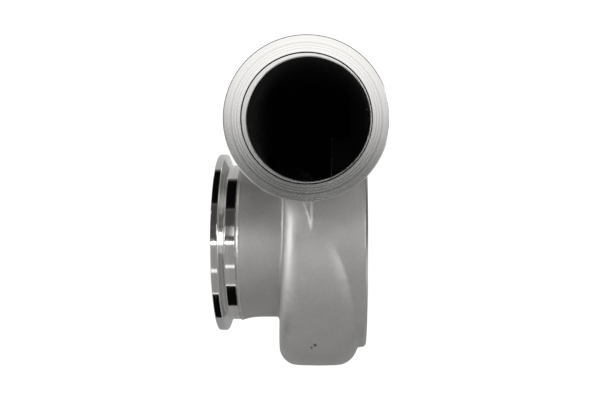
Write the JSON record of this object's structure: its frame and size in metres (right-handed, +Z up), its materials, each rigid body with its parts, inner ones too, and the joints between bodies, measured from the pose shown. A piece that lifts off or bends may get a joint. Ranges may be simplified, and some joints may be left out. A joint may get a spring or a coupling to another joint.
{
  "type": "turbine housing",
  "caption": "Radial turbine housing: stainless volute with tangential V-band inlet, axial V-band outlet and a bolted bearing flange.",
  "frame": {"origin": "on the turbine axis, in the plane of the bearing flange's face", "axes": "+X along the turbine axis towards the bearing housing, -Y out of the gas inlet, +Z up"},
  "size_m": [0.0833, 0.1639, 0.1534],
  "materials": {
    "cast_stainless": "blasted casting",
    "machined_casting": "fine turned",
    "turned_stainless": "bright turned",
    "weld": "weld bead"
  },
  "bodies": {
    "root": {"scroll": "cast_stainless", "inlet_spigot": "machined_casting", "inlet_flange": "turned_stainless", "inlet_weld": "weld", "wheel_shroud": "machined_casting", "discharge_nozzle": "cast_stainless", "outlet_weld": "weld", "outlet_flange": "turned_stainless", "bearing_flange": "machined_casting"}
  },
  "joints": []
}
